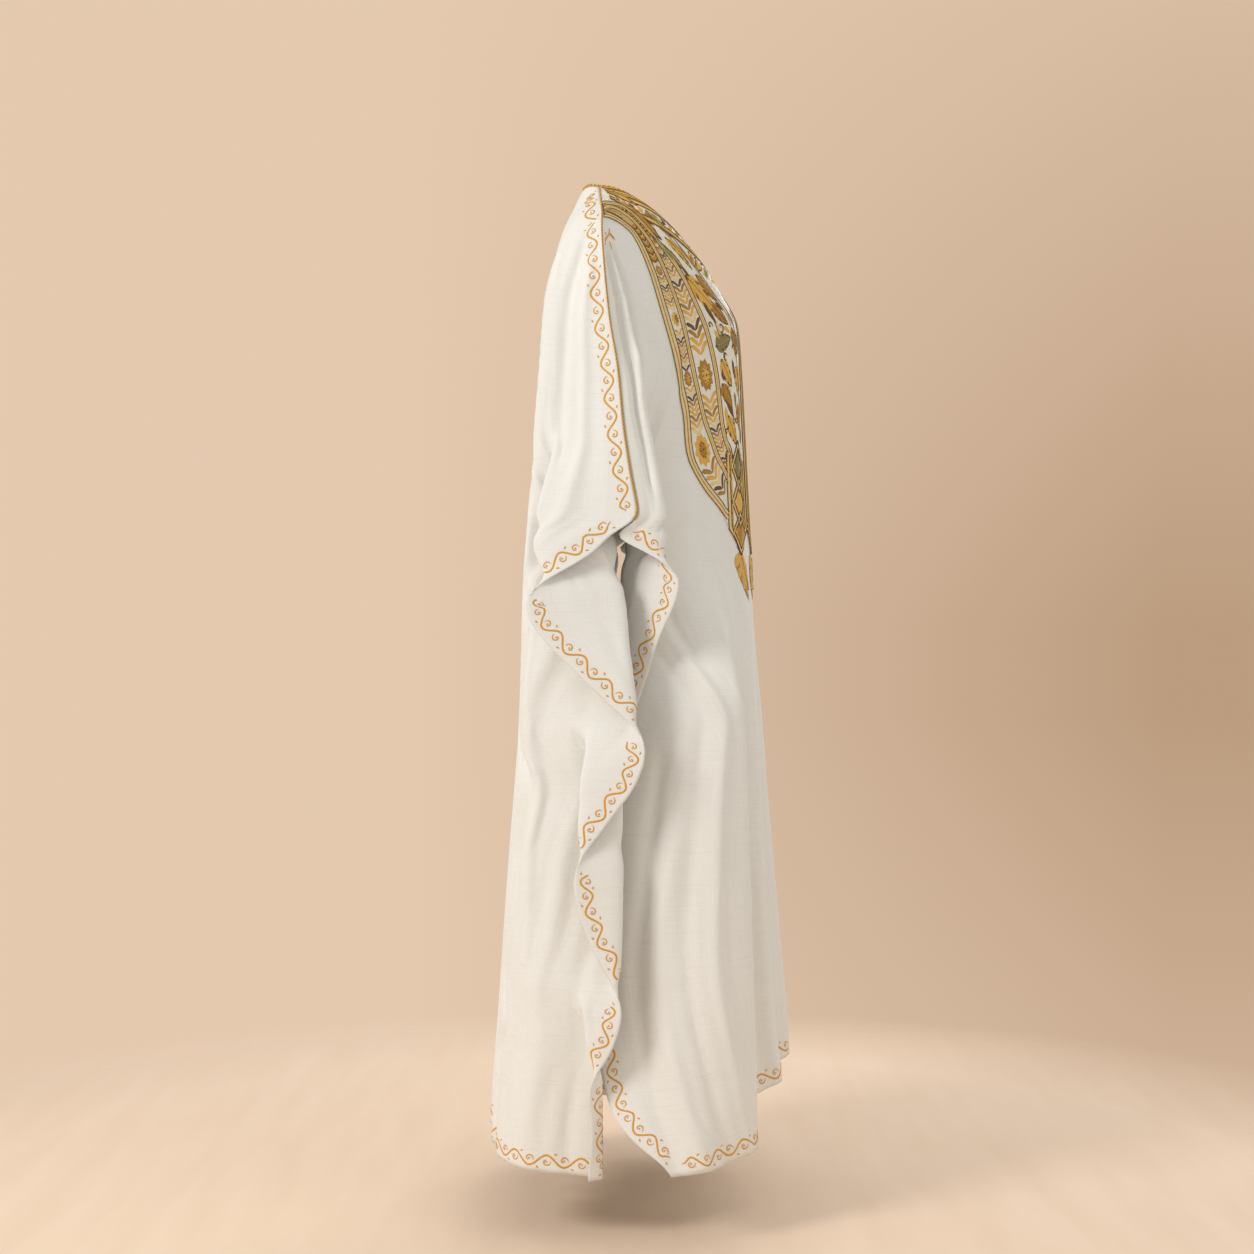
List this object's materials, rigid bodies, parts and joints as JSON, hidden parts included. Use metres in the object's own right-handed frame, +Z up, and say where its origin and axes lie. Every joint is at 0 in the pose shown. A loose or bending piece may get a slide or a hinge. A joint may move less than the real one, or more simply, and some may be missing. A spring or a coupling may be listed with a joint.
{
  "type": "kaftan",
  "caption": "Long wide linen kaftan worn with arms down, open-sided front and back panels falling in cascades, embroidered bib, hollow inside.",
  "frame": {"origin": "between the shoulders at the height of the neck points, where the wearer's shoulders hold the garment up", "axes": "+Z up along the body, front towards -Y, the wearer's right towards -X"},
  "size_m": [0.604, 0.4509, 1.4253],
  "materials": {
    "linen": "slubby plain-weave linen, matt with a faint sheen",
    "gold_embroidery": "satin-stitch embroidery in gold, ochre, brown and olive thread",
    "gold_cord": "twisted gold-brown cord"
  },
  "bodies": {
    "root": {"back_panel": "linen", "front_panel": "linen", "bib": "gold_embroidery", "bib_leaf": "gold_embroidery", "seam_cord_right": "gold_cord", "seam_cord_left": "gold_cord", "neck_binding": "gold_cord"}
  },
  "joints": []
}
